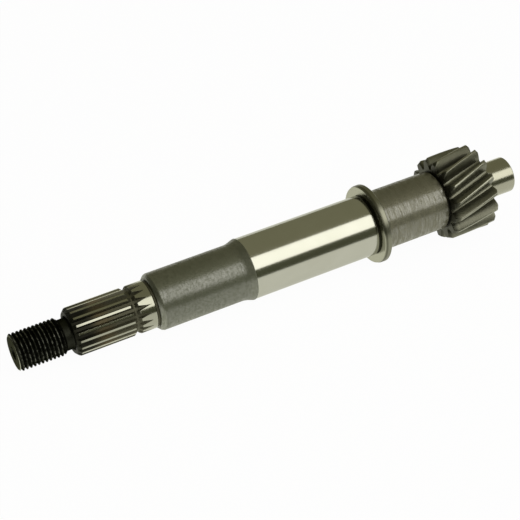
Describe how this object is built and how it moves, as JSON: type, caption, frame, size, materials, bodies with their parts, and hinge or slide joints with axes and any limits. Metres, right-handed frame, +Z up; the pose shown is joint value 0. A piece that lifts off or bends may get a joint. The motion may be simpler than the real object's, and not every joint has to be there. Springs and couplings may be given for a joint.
{
  "type": "drive shaft",
  "caption": "Steel drive shaft with a threaded end, a splined seat, a ground journal with a thrust collar, and an integral helical pinion with an end journal.",
  "frame": {"origin": "middle of the footprint box, on the surface that the shaft lies on", "axes": "+X along the shaft from the threaded end to the pinion end, +Z up; the shaft's own axis rises 2.9 degrees towards +X because it lies on its collar rim and its front shank"},
  "size_m": [0.1752, 0.0278, 0.029],
  "materials": {
    "steel": "ground bright on the journals, seat and splines; dark heat-treated grey on the shanks and pinion; black oxide on the thread"
  },
  "bodies": {
    "root": {"drive_shaft": "steel"}
  },
  "joints": []
}
